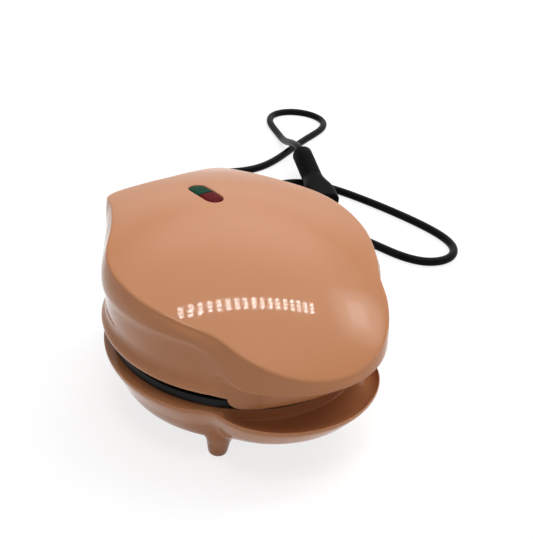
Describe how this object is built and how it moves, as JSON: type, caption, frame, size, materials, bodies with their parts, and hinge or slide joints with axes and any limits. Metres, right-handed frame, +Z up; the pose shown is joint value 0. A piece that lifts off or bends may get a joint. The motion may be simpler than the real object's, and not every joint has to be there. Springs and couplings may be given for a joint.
{
  "type": "mini waffle maker",
  "caption": "Small round countertop waffle maker with a hinged domed lid, front thumb tongues, moulded legs, a two-colour indicator window and a mains lead with plug.",
  "frame": {"origin": "on the table under the middle of the body's box, without the lead: midway between the two sides and midway between the front tongue's tip and the hinge barrel's back", "axes": "+X to the right as seen from the front, +Y from the thumb tongues to the hinge, +Z up"},
  "size_m": [0.425, 0.4223, 0.1123],
  "materials": {
    "salmon_plastic": "glossy moulded",
    "non_stick_plate": "black non-stick coating",
    "heater_steel": "drawn tube",
    "shield_metal": "pressed sheet",
    "ceramic_white": "ceramic",
    "screw_steel": "zinc plated",
    "black_plastic": "moulded",
    "black_rubber": "moulded, slightly glossy",
    "pin_brass": "turned",
    "lamp_glass": "clear",
    "green_lens": "translucent green",
    "red_lens": "translucent red"
  },
  "bodies": {
    "base": {"base_housing": "salmon_plastic", "lower_plate": "non_stick_plate", "lower_heater": "heater_steel", "lower_heat_shield": "shield_metal", "lower_thermostat": "ceramic_white", "lower_plate_screw_1": "screw_steel", "lower_plate_screw_2": "screw_steel", "lower_plate_screw_3": "screw_steel", "terminal_block": "ceramic_white", "cord_clamp": "black_plastic", "cord_gland": "black_rubber", "cord": "black_rubber", "plug_body": "black_rubber", "plug_pin_line": "pin_brass", "plug_pin_earth": "pin_brass", "plug_pin_neutral": "pin_brass", "lead_sleeve": "black_plastic"},
    "lid": {"lid_housing": "salmon_plastic", "hinge_pin_left": "screw_steel", "hinge_pin_right": "screw_steel", "upper_plate": "non_stick_plate", "upper_heater": "heater_steel", "upper_heat_shield": "shield_metal", "upper_thermostat": "ceramic_white", "thermal_fuse": "shield_metal", "upper_plate_screw_1": "screw_steel", "upper_plate_screw_2": "screw_steel", "upper_plate_screw_3": "screw_steel", "lamp_holder": "ceramic_white", "neon_lamp_green": "lamp_glass", "neon_lamp_red": "lamp_glass", "green_lens": "green_lens", "red_lens": "red_lens"}
  },
  "joints": [
    {"name": "lid_hinge", "type": "hinge", "parent": "base", "child": "lid", "pos_m": [0, 0.0831, 0.045], "axis": [-1, 0, 0], "range_deg": [0, 100]}
  ]
}
